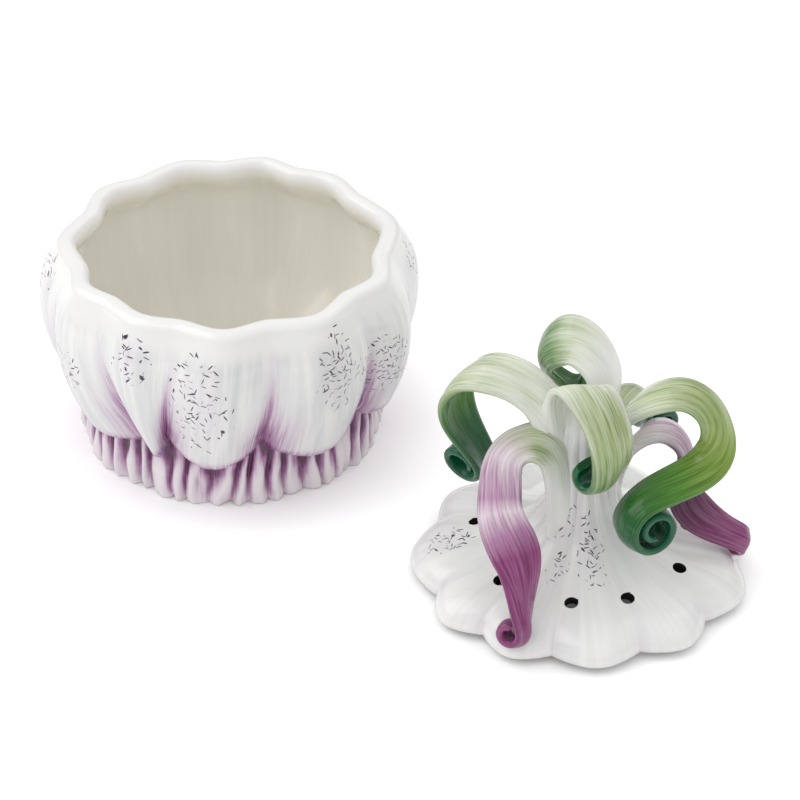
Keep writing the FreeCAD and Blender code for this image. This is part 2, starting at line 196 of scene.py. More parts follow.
def lobedSheet(rows, firstCrease, swell, perClove, perRow, softness):
    # points, side of the clove (-1 to 1) for each column, and row marks;
    # softness(height) is 0 where a crease is a sharp line and 1 where it is a rounded valley
    side = np.linspace(0, 1, perClove, endpoint=False)
    columnWeights = cubicWeights(len(cloves["stations"]), side * (len(cloves["stations"]) - 3))
    marks = np.linspace(0, len(rows) - 3, (len(rows) - 3) * perRow + 1)
    rowWeights = cubicWeights(len(rows), marks)
    sheets = []
    for number in range(len(cloves["widths"])):
        grid = []
        for height, ridge, valley, lift, stray in rows:
            angles = creaseAngles(firstCrease, stray)
            start, end = angles[number], angles[number + 1]
            crown = ridge + swell * cloves["swells"][number]
            line = []
            for station in cloves["stations"]:
                sharp = abs(station) ** cloves["round"]
                bend = sharp + (0.5 - 0.5 * math.cos(math.pi * station) - sharp) * softness(height)
                radius = valley + (crown - valley) * (1 - bend)
                turn = math.radians((start + end + station * (end - start)) / 2)
                line.append((radius * math.cos(turn), radius * math.sin(turn), height + lift * bend))
            grid.append(line)
        sheets.append(smoothSheet(grid, rowWeights, columnWeights))
    points = np.concatenate(sheets, axis=1)
    sides = np.tile(2 * side - 1, len(cloves["widths"]))
    return points, sides, marks


def sheetMap(points):
    # across in millimetres at the girth, along in millimetres down the profile
    rows, columns = points.shape[:2]
    girth = np.abs(points[:, :, :2]).max() * 2 * math.pi
    steps = np.linalg.norm(np.diff(points, axis=0), axis=2).mean(1)
    along = np.concatenate(([0], np.cumsum(steps)))
    across = np.linspace(0, girth, columns + 1)
    return [[(a, b) for a in across] for b in along]


# Glazes.

palette = {
    "white": "#f4f3f2",  # tin-white base glaze
    "milk": "#dcddde",  # where the white is thin
    "cream": "#f6f4ec",  # inside of the jar
    "creamShade": "#eeebe0",
    "mist": "#e2d3e1",  # thinnest mauve wash
    "mauve": "#b68bb1",
    "plum": "#84447a",
    "ink": "#39314a",  # dashes
    "bisque": "#ddd3c4",  # fired clay without glaze
    "ridge": "#f0eaec",  # wiped ridge of a pleat
    "blush": "#e7dbe3",
    "groove": "#5c2a50",  # deepest groove of a pleat
    "boreShade": "#2b2927",  # painted shade inside a vent hole: near black, as hardly any light reaches there
}


def glaze(tree, colour, roughness, bump, coat=0.6):
    # fired gloss glaze: a hard clear coat over the painted layer
    shader = addNode(tree, "ShaderNodeBsdfPrincipled", {
        "Base Color": colour,
        "Roughness": roughness,
        "IOR": 1.5,
        "Coat Weight": coat,
        "Coat Roughness": 0.06,
        "Normal": bump,
    })
    addNode(tree, "ShaderNodeOutputMaterial", {"Surface": shader})


def newMaterial(name):
    material = bpy.data.materials.new(name)
    material.use_nodes = True
    material.node_tree.nodes.clear()
    return material, material.node_tree


def brushStrokes(tree, across, along, detail=3.0, seed=0.0):
    # long soft strokes on the piece's own map: across and along are stroke sizes in millimetres
    glazeMap = addNode(tree, "ShaderNodeUVMap", uv_map="glazeMap")
    strokes = addNode(tree, "ShaderNodeMapping", {
        "Vector": glazeMap,
        "Location": (seed, seed * 1.7, 0),
        "Scale": (1 / (across * millimetre), 1 / (along * millimetre), 1),
    })
    return addNode(tree, "ShaderNodeTexNoise", {
        "Vector": strokes, "Scale": 1.0, "Detail": detail, "Roughness": 0.6, "Distortion": 0.25,
    })


def dashMask(tree, cell, dash, density, seed):
    # brushed dashes: thin discs scattered in space, each turned its own way, show as strokes where
    # they meet the surface; cell is their spacing and dash their thickness and width in millimetres
    where = addNode(tree, "ShaderNodeTexCoord")
    place = addNode(tree, "ShaderNodeMapping", {
        "Vector": where.outputs["Object"], "Location": (seed,) * 3, "Scale": (1 / (cell * millimetre),) * 3,
    })
    cells = addNode(tree, "ShaderNodeTexVoronoi", {"Vector": place, "Scale": 1.0})
    offset = addNode(tree, "ShaderNodeVectorMath", {0: place, 1: cells.outputs["Position"]},
                     operation="SUBTRACT")
    turn = addNode(tree, "ShaderNodeVectorMath", {0: cells.outputs["Color"], 1: (6.3, 6.3, 6.3)},
                   operation="MULTIPLY")
    turned = addNode(tree, "ShaderNodeVectorRotate", {"Vector": offset, "Rotation": turn},
                     rotation_type="EULER_XYZ")
    thick, wide = (2 * cell / reach for reach in dash)
    disc = addNode(tree, "ShaderNodeVectorMath", {0: turned, 1: (thick, wide, wide)},
                   operation="MULTIPLY")
    reach = addNode(tree, "ShaderNodeVectorMath", {0: disc}, operation="LENGTH")
    inside = addNode(tree, "ShaderNodeMapRange", {
        "Value": reach.outputs["Value"], "From Min": 1.15, "From Max": 0.75,
    })
    chance = addNode(tree, "ShaderNodeSeparateColor", {"Color": cells.outputs["Color"]})
    there = addNode(tree, "ShaderNodeMath", {0: chance.outputs["Green"], 1: density},
                    operation="LESS_THAN")
    return addNode(tree, "ShaderNodeMath", {0: inside, 1: there}, operation="MULTIPLY")


def washedWhite(tree, marks, wide, fine):
    # white with soft brush marks, and the wash over it in fine streaks
    shade = addNode(tree, "ShaderNodeMath", {0: wide, 1: -0.62}, operation="ADD")
    shaded = addNode(tree, "ShaderNodeMath", {0: shade, 1: marks["brushed"], 2: 0.62},
                     operation="MULTIPLY_ADD")
    white = addNode(tree, "ShaderNodeValToRGB", {"Fac": shaded})
    colourStops(white, (0.32, palette["milk"]), (0.62, palette["white"]))
    streaks = addNode(tree, "ShaderNodeMath", {0: fine, 1: 3.0, 2: -0.55}, operation="MULTIPLY_ADD")
    strength = addNode(tree, "ShaderNodeMath", {0: marks["wash"], 1: streaks},
                       operation="MULTIPLY", use_clamp=True)
    mauves = addNode(tree, "ShaderNodeValToRGB", {"Fac": strength})
    colourStops(mauves, (0, palette["mist"]), (0.55, palette["mauve"]), (1, palette["plum"]))
    cover = addNode(tree, "ShaderNodeMapRange", {"Value": strength, "From Min": 0.02, "From Max": 0.42})
    return addNode(tree, "ShaderNodeMix", {0: cover, 6: white, 7: mauves}, data_type="RGBA").outputs[2]


def inkedDashes(tree, marks, under, cell, dash):
    # two layers of dashes over a faint blot of the wash
    blot = addNode(tree, "ShaderNodeMath", {0: marks["dotted"], 1: 0.22}, operation="MULTIPLY")
    tinted = addNode(tree, "ShaderNodeMix", {
        0: blot, 6: under, 7: linearColour(palette["mist"])}, data_type="RGBA")
    density = addNode(tree, "ShaderNodeMath", {0: marks["dotted"], 1: 0.8}, operation="MULTIPLY")
    layers = [dashMask(tree, cell, dash, density, seed) for seed in (0.0, 7.3)]
    dashes = addNode(tree, "ShaderNodeMath", dict(enumerate(layers)), operation="MAXIMUM")
    return addNode(tree, "ShaderNodeMix", {
        0: dashes, 6: tinted.outputs[2], 7: linearColour(palette["ink"])}, data_type="RGBA").outputs[2]


def paintedWhiteGlaze(name, cell, dash):
    # tin-white slip-cast earthenware, brushed with an underglaze wash, then clear glazed and fired:
    # glossy, with soft vertical brush marks and colour that pools in the creases
    material, tree = newMaterial(name)
    marks = {mark: addNode(tree, "ShaderNodeAttribute", attribute_name=mark).outputs["Fac"]
             for mark in ("wash", "inner", "dotted", "brushed", "boreShade")}
    wide = brushStrokes(tree, 6, 70)
    fine = brushStrokes(tree, 0.8, 34, seed=4.0)
    outer = inkedDashes(tree, marks, washedWhite(tree, marks, wide, fine), cell, dash)
    creams = addNode(tree, "ShaderNodeValToRGB", {"Fac": wide})
    colourStops(creams, (0, palette["creamShade"]), (1, palette["cream"]))
    whole = addNode(tree, "ShaderNodeMix", {0: marks["inner"], 6: outer, 7: creams}, data_type="RGBA")
    # painted shade: the walls inside the vent holes are coloured near black
    boreShaded = addNode(tree, "ShaderNodeMix", {
        0: marks["boreShade"], 6: whole.outputs[2], 7: linearColour(palette["boreShade"])}, data_type="RGBA")
    height = addNode(tree, "ShaderNodeMath", {0: fine, 1: wide}, operation="ADD")
    bump = addNode(tree, "ShaderNodeBump", {"Height": height, "Strength": 0.12, "Distance": 0.0006})
    glaze(tree, boreShaded.outputs[2], 0.16, bump)
    return material


def clusterMask(turn, place, clusters):
    # how strongly each point is dashed, from its direction and its height or distance
    mask = np.zeros(len(turn))
    for angle, middle, halfAngle, halfReach, strength in clusters:
        across = ((turn - angle + 180) % 360 - 180) / halfAngle
        along = (place - middle) / halfReach
        mask = np.maximum(mask, strength * np.exp(-(across ** 2 + along ** 2) * 0.9))
    return np.where(mask > 0.22, mask, 0)


# Jar: the bulb itself.

jar = {
    "height": 93.0,
    "mouthRadius": 66.9,
    "lipWidth": 10.0,
    "lipHeight": 4.5,
    "lipCrease": 5.5,
    "shoulderDrop": 7.6,
    "girthHeight": 68.0,
    "creaseDepth": 7.5,
    "bellyDrop": 9.4,
    "cloveBottom": 27.0,
    "turnUnder": 9.0,
    "footRadius": 58.0,
    "wall": 8.0,
    "floor": 7.0,
    "floorFillet": 5.0,
    "frillOverlap": 6.0,
    "trace": 0.2,
    "bellySteps": 9,
    "firstCrease": 30.0,
    "softFrom": (52.0, 84.0),  # heights between which a crease goes from sharp to rounded
    "mesh": (26, 5),  # columns in a clove, rows between two of the construction's
    "creamFrom": (2.0, 3.6),  # rows past the lip's crest where the white gives way to cream
    "brushedFrom": (86, 78),  # heights between which the brush marks come in
    # washes: from which share of the way to the crease, heights between which it comes in, strength
    "washes": [(0.8, 92, 34, 0.6), (0.3, 66, 28, 0.5)],
    "rimWash": (30, 23, 0.45),
    # how far a clove bottom has turned, how far its crease stands out, how far the row rises there
    "bottoms": [(12, 3.0, 7), (38, 4.5, 9), (64, 6.5, 9), (90, 9.0, 8)],
    # dash clusters: direction, height, half width in degrees, half height, strength
    "clusters": [
        (277, 77, 6, 9, 0.9), (300, 61, 8, 20, 1.0), (343, 70, 7, 16, 1.0), (4, 56, 9, 13, 1.1),
        (218, 80, 8, 9, 0.7), (249, 57, 7, 10, 0.6), (45, 78, 9, 10, 0.8), (92, 62, 8, 15, 0.9),
        (120, 74, 8, 10, 0.8), (150, 58, 8, 14, 1.0), (181, 66, 8, 14, 0.8),
    ],
}


def bellyRidge(height):
    girth = jar["mouthRadius"] + jar["lipWidth"] + jar["shoulderDrop"]
    if height > jar["girthHeight"]:
        share = (height - jar["girthHeight"]) / (jar["height"] - jar["lipHeight"] - jar["girthHeight"])
        return girth - jar["shoulderDrop"] * share ** 2.1
    share = (jar["girthHeight"] - height) / (jar["girthHeight"] - jar["cloveBottom"])
    return girth - jar["bellyDrop"] * share ** 2.2


def bellyCrease(height):
    share = (jar["height"] - height) / (jar["height"] - jar["girthHeight"])
    return jar["lipCrease"] + (jar["creaseDepth"] - jar["lipCrease"]) * share


def creaseStray(height):
    share = (jar["height"] - height) / (jar["height"] - jar["cloveBottom"])
    return min(1, max(0, share)) ** 1.5


def bellyRows(inset, deepening):
    rows = []
    lowest = jar["cloveBottom"] + jar["frillOverlap"]
    highest = jar["height"] - jar["lipHeight"]
    for step in range(jar["bellySteps"] + 1):
        share = step / jar["bellySteps"]
        height = lowest + (highest - lowest) * share
        ridge = bellyRidge(height) - inset
        crease = bellyCrease(height) * deepening
        lift = jar["frillOverlap"] * (1 - share) ** 3
        rows.append((height, ridge, ridge - crease, lift, creaseStray(height)))
    return rows


def jarRows():
    foot, bottom, under = jar["footRadius"], jar["cloveBottom"], jar["turnUnder"]
    rows = [(height, foot, foot - jar["trace"], 0, 1)
            for height in (0, 0.67 * (bottom - under), bottom - 1.17 * under)]
    for turn, crease, lift in jar["bottoms"]:
        ridge = foot + (bellyRidge(bottom) - foot) * math.sin(math.radians(turn))
        rows.append((bottom - under * math.cos(math.radians(turn)), ridge, foot + crease, lift, 1))
    rows += bellyRows(0, 1)
    inReach = 0.4 * jar["lipWidth"]
    middle = jar["mouthRadius"] + inReach
    for angle in (25, 50, 70, 90, 110, 130, 155, 180):
        reach = jar["lipWidth"] - inReach if angle < 90 else inReach
        ridge = middle + reach * math.cos(math.radians(angle))
        height = jar["height"] - jar["lipHeight"] * (1 - math.sin(math.radians(angle)))
        rows.append((height, ridge, ridge - jar["lipCrease"], 0, creaseStray(height)))
    crest = len(rows) - 5
    mouth = jar["mouthRadius"] + 0.5
    rows.append((jar["height"] - 2 * jar["lipHeight"], mouth, mouth - jar["lipCrease"], 0, 0))
    rows += [(h, ridge, valley, 0, stray) for h, ridge, valley, lift, stray
             in reversed(bellyRows(jar["wall"], 0.75)[:-2])]
    floor, fillet = jar["floor"], jar["floorFillet"]
    side = foot - jar["wall"]
    rows.append(((bottom + floor + fillet) / 2, side + fillet, side + fillet - 1, 0, 1))
    for turn in (90, 60, 30, 0):
        radius = side - fillet * (1 - math.sin(math.radians(turn)))
        height = floor + fillet * (1 - math.cos(math.radians(turn)))
        rows.append((height, radius, radius - jar["trace"], 0, 1))
    rows.append((floor, side - 2 * fillet, side - 2 * fillet - jar["trace"], 0, 1))
    return rows, crest


def jarMarks(places, side, mark, crest):
    # how each point is painted: cream inside, mauve wash in the creases, brush marks and dashes
    height = places[:, 2]
    inner = softStep(*jar["creamFrom"], mark - crest)
    outer = 1 - inner
    high, low, strength = jar["rimWash"]
    wash = softStep(high, low, height) * strength
    for start, high, low, strength in jar["washes"]:
        wash = wash + softStep(start, 1.0, side) * softStep(high, low, height) * strength
    turn = np.degrees(np.arctan2(places[:, 1], places[:, 0]))
    return {
        "inner": inner,
        "wash": np.clip(wash, 0, 1) * outer,
        "dotted": clusterMask(turn, height, jar["clusters"]) * outer,
        "brushed": softStep(*jar["brushedFrom"], height) * outer,
    }


def makeJar():
    rows, crest = jarRows()
    points, sides, marks = lobedSheet(rows, jar["firstCrease"], 1.0, *jar["mesh"],
                                      lambda height: float(softStep(*jar["softFrom"], height)))
    piece = makePiece("jarBulb", points, sheetMap(points))
    places = meshPlaces(piece.data)[:-2]  # without the middles of the foot and of the floor inside
    side = np.tile(np.abs(sides), len(marks))
    mark = np.repeat(marks, len(sides))
    for name, values in jarMarks(places, side, mark, crest).items():
        middles = (0, name == "inner")
        paintNumbers(piece.data, name, np.concatenate((values, middles)))
    smoothPiece(piece)
    material = paintedWhiteGlaze("brushedWhiteGlaze", 2.9, (0.5, 3.4))
    finishPiece(piece, material, "jar", "jar_glaze", "jar_bulb")
    return piece


jarBulb = makeJar()
print("jar made")


# Frill: the pleated collar of roots round the foot.

frill = {
    "inputs": {  # of the Geometry Nodes tree
        "Pleats": 48,
        "Foot radius": 58.0 * millimetre,
        "Height": 33.0 * millimetre,
        "Flare": 10.0 * millimetre,
        "Top flare": 8.0 * millimetre,
        "Pleat depth": 4.6 * millimetre,
        "Lobe depth": 3.6 * millimetre,
        "Wander": 1.9,  # how far the grooves stray from an even spacing, in pleats
        "Lean": 3.6,  # how far a pleat may lean over its height, in pleats
        "Seed": 3.0,
    },
    "noises": {  # unevenness round the collar: scale, detail, and whether it changes up the height
        "lobing": (2.6, 1.0, False),
        "straying": (5.0, 2.0, True),
        "depths": (9.0, 1.0, True),
        "leans": (3.4, 1.0, False),
    },
    "columns": 14,  # mesh columns in a pleat
    "rows": 64,  # mesh rows round the section
    "hem": 1.6,  # how far the bottom edge turns in
    "skin": 1.4,  # how far under the jar's skin the part behind the cloves lies
    "thickness": 0.7,  # between the two sides of that part
}


def frillTree():
    tree = bpy.data.node_groups.new("pleatedCollar", "GeometryNodeTree")
    tree.interface.new_socket("Geometry", in_out="OUTPUT", socket_type="NodeSocketGeometry")
    for name, value in frill["inputs"].items():
        kind = "NodeSocketInt" if isinstance(value, int) else "NodeSocketFloat"
        tree.interface.new_socket(name, in_out="INPUT", socket_type=kind)
    tree.interface.new_socket("Material", in_out="INPUT", socket_type="NodeSocketMaterial")
    given = addNode(tree, "NodeGroupInput").outputs
    known = {name: given[name] for name in frill["inputs"]}

    def follow(*steps):
        # a step: its name, what it does, and what it works on, which is a number or an earlier step
        for name, doing, *values in steps:
            inputs = {number: known.get(value, value) for number, value in enumerate(values)}
            if doing in ("LINEAR", "SMOOTHSTEP"):
                known[name] = addNode(tree, "ShaderNodeMapRange", inputs, interpolation_type=doing)
            else:
                known[name] = addNode(tree, "ShaderNodeMath", inputs, operation=doing)

    follow(("columns", "MULTIPLY_ADD", "Pleats", frill["columns"], 1))
    grid = addNode(tree, "GeometryNodeMeshGrid", {
        "Size X": 1.0, "Size Y": 1.0, "Vertices X": known["columns"], "Vertices Y": frill["rows"]})
    place = addNode(tree, "ShaderNodeSeparateXYZ", {0: addNode(tree, "GeometryNodeInputPosition")})
    known.update(x=place.outputs[0], y=place.outputs[1])
    follow(
        ("around", "ADD", "x", 0.5),
        ("section", "ADD", "y", 0.5),
        ("turn", "MULTIPLY", "around", 2 * math.pi),
        ("cosine", "COSINE", "turn"),
        ("sine", "SINE", "turn"),
        # round the section: up the outside, over the top, down the inside and back along the table
        ("up", "LINEAR", "section", 0.0, 0.6),
        ("down", "LINEAR", "section", 0.68, 0.95),
        ("rise", "SUBTRACT", "up", "down"),
        ("over", "SMOOTHSTEP", "section", 0.6, 0.68),
        ("back", "LINEAR", "section", 0.95, 1.0),
        ("inset", "SUBTRACT", "over", "back"),
        ("outside", "SUBTRACT", 1.0, "inset"),
        ("climb", "MULTIPLY_ADD", "rise", 0.16, "Seed"),
    )
    for name, (scale, detail, climbs) in frill["noises"].items():
        where = addNode(tree, "ShaderNodeCombineXYZ", {
            0: known["cosine"], 1: known["sine"], 2: known["climb" if climbs else "Seed"]})
        known[name] = addNode(tree, "ShaderNodeTexNoise", {"Vector": where, "Scale": scale, "Detail": detail})
    follow(
        # where along its pleat a point lies, and how deep in the groove
        ("offMiddle", "SUBTRACT", "straying", 0.5),
        ("stray", "MULTIPLY", "offMiddle", "Wander"),
        ("tilt", "SUBTRACT", "leans", 0.5),
        ("tilted", "MULTIPLY", "tilt", "Lean"),
        ("leaning", "MULTIPLY", "tilted", "rise"),
        ("strayed", "ADD", "stray", "leaning"),
        ("pleat", "MULTIPLY_ADD", "around", "Pleats", "strayed"),
        ("phase", "FRACT", "pleat"),
        ("sideways", "MULTIPLY_ADD", "phase", 2.0, -1.0),
        ("aside", "ABSOLUTE", "sideways"),
        ("groove", "POWER", "aside", 1.7),
        ("uneven", "MULTIPLY_ADD", "depths", 1.9, -0.15),
        ("fade", "MULTIPLY_ADD", "rise", -0.45, 1.0),
        ("fading", "MULTIPLY", "Pleat depth", "fade"),
        ("depth", "MULTIPLY", "fading", "uneven"),
        ("cut", "MULTIPLY", "groove", "depth"),
        # the flare, its broad lobes and the hem that turns in at the table
        ("fall", "SUBTRACT", 1.0, "rise"),
        ("spread", "POWER", "fall", 1.6),
        ("drop", "SUBTRACT", "Flare", "Top flare"),
        ("flare", "MULTIPLY_ADD", "drop", "spread", "Top flare"),
        ("lobe", "SMOOTHSTEP", "lobing", 0.35, 0.7),
        ("lobes", "MULTIPLY", "lobe", "Lobe depth"),
        ("edge", "POWER", "fall", 24.0),
        ("lobesAndHem", "MULTIPLY_ADD", "edge", frill["hem"] * millimetre, "lobes"),
        ("drawnIn", "ADD", "lobesAndHem", "cut"),
        ("full", "ADD", "Foot radius", "flare"),
        ("outer", "SUBTRACT", "full", "drawnIn"),
        ("hidden", "SUBTRACT", "Foot radius", millimetre),
        ("thickness", "SUBTRACT", "hidden", "outer"),
        ("radius", "MULTIPLY_ADD", "inset", "thickness", "outer"),
        ("east", "MULTIPLY", "radius", "cosine"),
        ("north", "MULTIPLY", "radius", "sine"),
        ("height", "MULTIPLY", "rise", "Height"),
        ("spreadOut", "MULTIPLY", "turn", "Foot radius"),
    )
    # the marks are stored first, because they are worked out from where the grid's points lie
    stored = grid
    for name in ("groove", "rise", "outside"):
        stored = addNode(tree, "GeometryNodeStoreNamedAttribute",
                         {"Geometry": stored, "Name": name, "Value": known[name]}, data_type="FLOAT")
    glazeMap = addNode(tree, "ShaderNodeCombineXYZ", {0: known["spreadOut"], 1: known["height"]})
    mapped = addNode(tree, "GeometryNodeStoreNamedAttribute",
                     {"Geometry": stored, "Name": "glazeMap", "Value": glazeMap},
                     data_type="FLOAT2", domain="CORNER")
    position = addNode(tree, "ShaderNodeCombineXYZ", {
        0: known["east"], 1: known["north"], 2: known["height"]})
    shaped = addNode(tree, "GeometryNodeSetPosition", {"Geometry": mapped, "Position": position})
    welded = addNode(tree, "GeometryNodeMergeByDistance", {"Geometry": shaped, "Distance": 0.00001})
    smooth = addNode(tree, "GeometryNodeSetShadeSmooth", {"Geometry": welded})
    real = addNode(tree, "GeometryNodeRealizeInstances", {"Geometry": smooth})
    coated = addNode(tree, "GeometryNodeSetMaterial", {"Geometry": real, "Material": given["Material"]})
    addNode(tree, "NodeGroupOutput", {"Geometry": coated})
    return tree


def runTree(name, tree, values):
    # the tree's result as a plain mesh
    holder = bpy.data.objects.new(name + "Holder", bpy.data.meshes.new(name + "Holder"))
    scene.collection.objects.link(holder)
    modifier = holder.modifiers.new(name, "NODES")
    modifier.node_group = tree
    for socket in tree.interface.items_tree:
        if socket.in_out == "INPUT" and socket.name in values:
            modifier[socket.identifier] = values[socket.name]
    evaluated = holder.evaluated_get(bpy.context.evaluated_depsgraph_get())
    mesh = bpy.data.meshes.new_from_object(evaluated)
    mesh.name = name
    bpy.data.objects.remove(holder)
    piece = bpy.data.objects.new(name, mesh)
    scene.collection.objects.link(piece)
    return piece


def pleatGlaze():
    # carved earthenware, plum wash wiped off the ridges before the clear glaze: dark grooves,
    # near-white ridges and a pale bottom edge, with painted shade darkening the upper part under the jar's
    # belly
    material, tree = newMaterial("wipedPleatGlaze")
    groove = addNode(tree, "ShaderNodeAttribute", attribute_name="groove")
    rise = addNode(tree, "ShaderNodeAttribute", attribute_name="rise")
    strokes = brushStrokes(tree, 0.9, 16, seed=2.0)
    patches = brushStrokes(tree, 14, 22, seed=7.0)
    deep = addNode(tree, "ShaderNodeMath", {0: groove.outputs["Fac"], 1: 1.1}, operation="POWER")
    high = addNode(tree, "ShaderNodeMapRange", {"Value": rise.outputs["Fac"], "From Min": 0.0,
                                               "From Max": 0.55, "To Min": 0.12, "To Max": 1.35})
    pooled = addNode(tree, "ShaderNodeMath", {0: deep, 1: high}, operation="MULTIPLY")
    # painted shade: more of the dark colour towards the top, where the collar tucks under the jar's belly
    shadow = addNode(tree, "ShaderNodeMapRange", {"Value": rise.outputs["Fac"], "From Min": 0.4,
                                                 "From Max": 0.85, "To Min": 0.03, "To Max": 0.4})
    both = addNode(tree, "ShaderNodeMath", {0: pooled, 1: shadow}, operation="ADD")
    streaked = addNode(tree, "ShaderNodeMath", {0: strokes, 1: 1.6, 2: 0.2}, operation="MULTIPLY_ADD")
    patchy = addNode(tree, "ShaderNodeMath", {0: patches, 1: 1.6, 2: 0.2}, operation="MULTIPLY_ADD")
    rough = addNode(tree, "ShaderNodeMath", {0: both, 1: streaked}, operation="MULTIPLY")
    cover = addNode(tree, "ShaderNodeMath", {0: rough, 1: patchy}, operation="MULTIPLY")
    colours = addNode(tree, "ShaderNodeValToRGB", {"Fac": cover})
    colourStops(colours, (0, palette["ridge"]), (0.16, palette["blush"]), (0.42, palette["mauve"]),
                (0.72, palette["plum"]), (1, palette["groove"]))
    bump = addNode(tree, "ShaderNodeBump", {"Height": strokes, "Strength": 0.25, "Distance": 0.0005})
    glaze(tree, colours.outputs[0], 0.2, bump)
    return material


def tuckUnder(piece, cover):
    # draws what lies behind the cloves into the wall of the jar, under its outer skin
    tree = BVHTree.FromPolygons([tuple(p) for p in meshPlaces(cover.data)],
                                [tuple(f.vertices) for f in cover.data.polygons])
    places = meshPlaces(piece.data)
    outside = np.zeros(len(places))
    piece.data.attributes["outside"].data.foreach_get("value", outside)
    farOut = 120
    lowest = 0.05
    for i, (x, y, z) in enumerate(places):
        reach = math.hypot(x, y)
        away = Vector((x / reach, y / reach, 0))
        start = away * farOut + Vector((0, 0, max(z, lowest)))
        hit = tree.ray_cast(start, -away)[0]
        skin = math.hypot(hit.x, hit.y) - frill["skin"] - frill["thickness"] * (1 - outside[i])
        if reach < skin:
            places[i, :2] *= skin / reach
    piece.data.vertices.foreach_set("co", (places * millimetre).ravel())
    piece.data.update()


def makeFrill():
    values = dict(frill["inputs"], Material=pleatGlaze())
    piece = runTree("rootFrill", frillTree(), values)
    tuckUnder(piece, jarBulb)
    finishPiece(piece, values["Material"], "jar", "frill_glaze", "jar_root_frill")


makeFrill()
print("frill made")


# Lid: dome, neck and vent holes.

lid = {
    "gap": 30.3,
    "turn": 37.2,
    "overhang": 5.3,
    "skirtGap": 3.0,
    "creaseDepth": 7.5,
    "domeRise": 16.5,
    "wall": 5.0,
    "neckFootRise": 16.5,
    "neckFootRadius": 16.0,
    "neckRadius": 11.5,
    "neckRise": 44.0,
    "firstCrease": 156.5,
    "softness": 0.3,
    "brushing": 0.45,  # how plain the brush marks in the white are
    "creaseReach": 7,  # degrees to either side of a crease that the wash spreads
    # where the wash comes in and how strongly: by distance on the dome, by height on the neck
    "domeWash": (46, 70, 0.1),
    "neckWash": (30, 60, 0.06),
    "ventRadius": 2.9,
    "ventInset": 26.7,
    "ventTilt": 25.0,
    "vents": [10, 50, 90, 128, 165, 221, 263, 293, 332],
    # share of the rise, distance in or out, depth of a crease as a share or in millimetres
    "skirtOutline": [(0, 1.2, 1), (0.12, 0, 1), (0.4, 1.8, 1),
                     (0.64, 8, 0.85), (0.8, 18, 0.6), (0.91, 29, 0.35)],
    "shoulderOutline": [(0.22, 16, 2.0), (0.55, 6, 1.8), (1, 0, 1.6)],
    "neckOutline": [(0.3, 1, 1.4), (0.7, 0, 1.2), (0.94, -1.5, 1.0), (1, -5, 0.6)],
    "mesh": (22, 8),  # columns in a clove, rows between two of the construction's
    "leafSeatRise": 14.0,
    "leafThickness": 3.6,
    "leafBow": 2.4,  # how far a leaf is crowned across
    "lutingReach": 8.0,  # how near two pieces are drawn together where they were joined
    "lutingBuild": 0.27,  # how far, as a share of that
    "leafRoot": 0.4,  # share of a leaf that other pieces are drawn to
    "lutingFade": 0.06,  # share of a leaf over which the drawing dies out past its root
    # dash clusters: direction, distance from the axis, half width in degrees, half length, strength
    "domeClusters": [(179, 55, 7, 9, 0.9), (75, 56, 7, 8, 0.8), (130, 50, 6, 8, 0.7)],
    # the same on the neck, by height
    "neckClusters": [(247, 38, 12, 6, 1.1), (278, 31, 11, 10, 1.2), (250, 24, 8, 4, 0.7),
                     (120, 40, 14, 9, 0.9)],
}
skirtRadius = jar["mouthRadius"] + lid["overhang"]
girthRadius = jar["mouthRadius"] + jar["lipWidth"] + jar["shoulderDrop"]
lidCentre = girthRadius + lid["gap"] + skirtRadius
domeFlat = lid["skirtGap"] + lid["domeRise"]
neckFoot = domeFlat + lid["neckFootRise"]


def standLid(points):
    # from the lid's own frame to where it stands beside the jar
    turn = math.radians(lid["turn"])
    x, y, z = np.moveaxis(np.asarray(points, float), -1, 0)
    right = lidCentre + x * math.cos(turn) - y * math.sin(turn)
    behind = x * math.sin(turn) + y * math.cos(turn)
    return np.stack((right, behind, z), axis=-1)


def lidRows():
    profile = [(lid["skirtGap"] + share * lid["domeRise"], skirtRadius - inset, crease * lid["creaseDepth"])
               for share, inset, crease in lid["skirtOutline"]]
    profile += [(domeFlat + share * lid["neckFootRise"], lid["neckFootRadius"] + out, depth)
                for share, out, depth in lid["shoulderOutline"]]
    under = list(profile)
    profile += [(neckFoot + share * lid["neckRise"], lid["neckRadius"] + out, depth)
                for share, out, depth in lid["neckOutline"]]
    rows = [(height, ridge, ridge - depth, 0, 0) for height, ridge, depth in reversed(profile)]
    edge, skirt, depth = profile[0]
    half = skirt - lid["wall"] / 2
    rows.append((edge - 0.2, half, half - depth, 0, 0))
    for height, ridge, depth in under:
        radius = ridge - lid["wall"]
        rows.append((max(height - 0.9 * lid["wall"], edge + 0.2), radius, radius - 0.8 * depth, 0, 0))
    return rows


def ventAxes():
    # middle and direction of each vent hole in the lid's own frame
    axes = []
    for angle in lid["vents"]:
        turn, tilt = math.radians(angle), math.radians(lid["ventTilt"])
        reach = skirtRadius - lid["ventInset"]
        surface = lid["skirtGap"] + 0.91 * lid["domeRise"]
        middle = np.array((reach * math.cos(turn), reach * math.sin(turn), surface))
        out = math.sin(tilt)
        axis = np.array((out * math.cos(turn), out * math.sin(turn), math.cos(tilt)))
        axes.append((middle, axis))
    return axes


